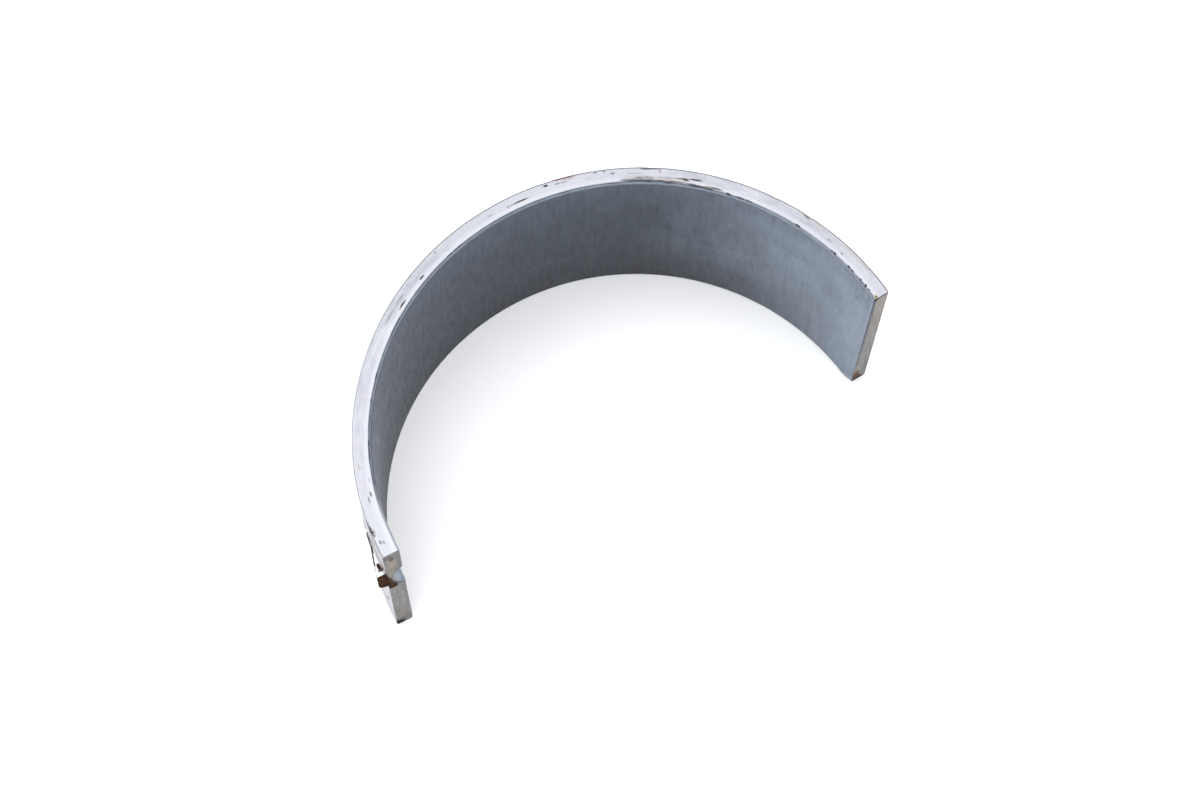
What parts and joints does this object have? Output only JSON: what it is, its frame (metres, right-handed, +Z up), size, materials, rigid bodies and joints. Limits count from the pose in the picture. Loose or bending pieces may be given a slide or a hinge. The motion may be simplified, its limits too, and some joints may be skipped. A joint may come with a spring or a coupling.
{
  "type": "engine bearing shell",
  "caption": "Plain half shell for a split engine bearing: a bimetal half ring with chamfered bore edges and a pressed locating lug at one parting face.",
  "frame": {"origin": "on the lower side face at the crown, in the middle of the wall, where such a shell's wall is gauged; the shell stands on this face", "axes": "+X across the two parting faces, away from the lug; +Y from the bore axis towards the crown; +Z up, along the bore axis, which stands at X = 0, Y = -39.8 mm"},
  "size_m": [0.0836, 0.0402, 0.032],
  "materials": {
    "bearing_metal": "satin grey bimetal, bright at the side faces, with small rust marks"
  },
  "bodies": {
    "root": {"bearing_shell": "bearing_metal"}
  },
  "joints": []
}
